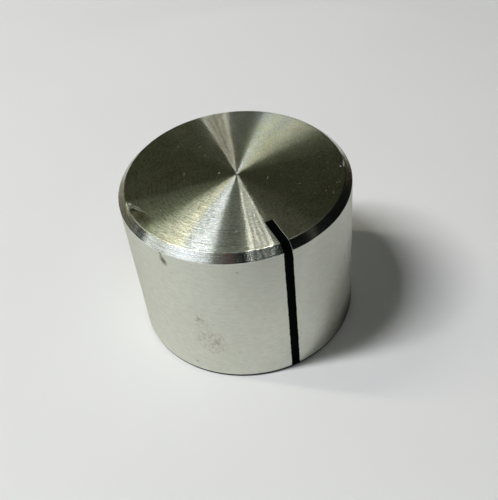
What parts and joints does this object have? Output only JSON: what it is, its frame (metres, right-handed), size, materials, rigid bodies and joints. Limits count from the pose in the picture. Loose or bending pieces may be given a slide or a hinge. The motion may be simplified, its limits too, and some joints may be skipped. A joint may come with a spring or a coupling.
{
  "type": "control knob",
  "caption": "Turned aluminium control knob with a chamfered rim, a black pointer line over side and top, a blind shaft bore with nut recess, and a grub screw.",
  "frame": {"origin": "centre of the base face, on the shaft axis", "axes": "+Z along the shaft axis from the base to the top face, -Y towards the pointer line, +Y towards the grub screw"},
  "size_m": [0.032, 0.032, 0.024],
  "materials": {
    "turned_aluminium": "turned, bright top face with fine rings, satin side",
    "black_paint": "black enamel, wiped into the groove",
    "black_steel": "black oxide"
  },
  "bodies": {
    "root": {"knob_body": "turned_aluminium", "pointer_fill": "black_paint", "grub_screw": "black_steel"}
  },
  "joints": []
}
